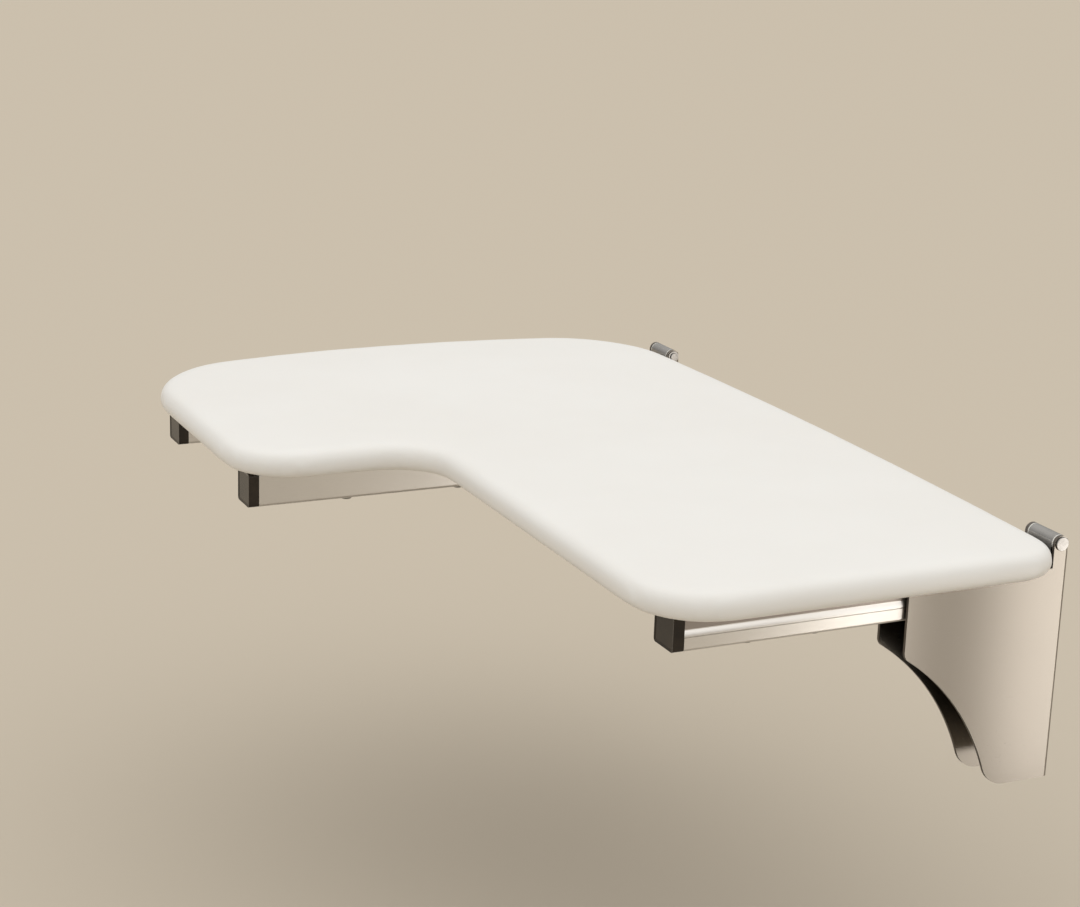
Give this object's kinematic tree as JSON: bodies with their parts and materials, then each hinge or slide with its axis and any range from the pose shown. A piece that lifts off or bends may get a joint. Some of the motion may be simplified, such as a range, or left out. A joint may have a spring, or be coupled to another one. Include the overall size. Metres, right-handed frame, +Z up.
{
  "type": "fold-up shower seat",
  "caption": "Wall-mounted fold-up shower seat: L-shaped padded white top on a square-tube steel frame, hinged in scooped U-section wall brackets.",
  "frame": {"origin": "centre of the six-hole wall screw pattern, on the wall face, midway between the two wall brackets", "axes": "+X along the wall towards the end without the leg of the L, +Y into the wall (the seat reaches towards -Y), +Z up"},
  "size_m": [0.852, 0.5781, 0.218],
  "materials": {
    "pad_vinyl": "satin",
    "board": "matte",
    "frame_steel": "satin",
    "bracket_steel": "satin",
    "machined_steel": "satin",
    "black_plastic": "gloss",
    "nylon": "satin"
  },
  "bodies": {
    "wall_mount": {"wall_bracket_near": "bracket_steel", "wall_bracket_far": "bracket_steel", "rest_bar_near": "bracket_steel", "rest_bar_far": "bracket_steel", "rest_pad_near": "nylon", "rest_pad_far": "nylon", "hinge_pin_near": "machined_steel", "hinge_pin_far": "machined_steel", "pin_clip_near": "machined_steel", "pin_clip_far": "machined_steel"},
    "seat": {"seat_pad": "pad_vinyl", "seat_board": "board", "arm_near": "frame_steel", "arm_middle": "frame_steel", "arm_far": "frame_steel", "cross_rail_rear": "frame_steel", "cross_rail_front": "frame_steel", "cross_rail_leg": "frame_steel", "end_cap_near": "black_plastic", "end_cap_middle": "black_plastic", "end_cap_far": "black_plastic", "hinge_block_near": "machined_steel", "hinge_block_far": "machined_steel", "bushes_near": "nylon", "bushes_far": "nylon", "block_screws_near": "machined_steel", "block_screws_far": "machined_steel", "seat_bolts": "machined_steel", "bolt_washers": "machined_steel", "tee_nuts": "machined_steel"}
  },
  "joints": [
    {"name": "seat_fold", "type": "hinge", "parent": "wall_mount", "child": "seat", "pos_m": [0, -0.009, 0.1348], "axis": [-1, 0, 0], "range_deg": [0, 90]}
  ]
}
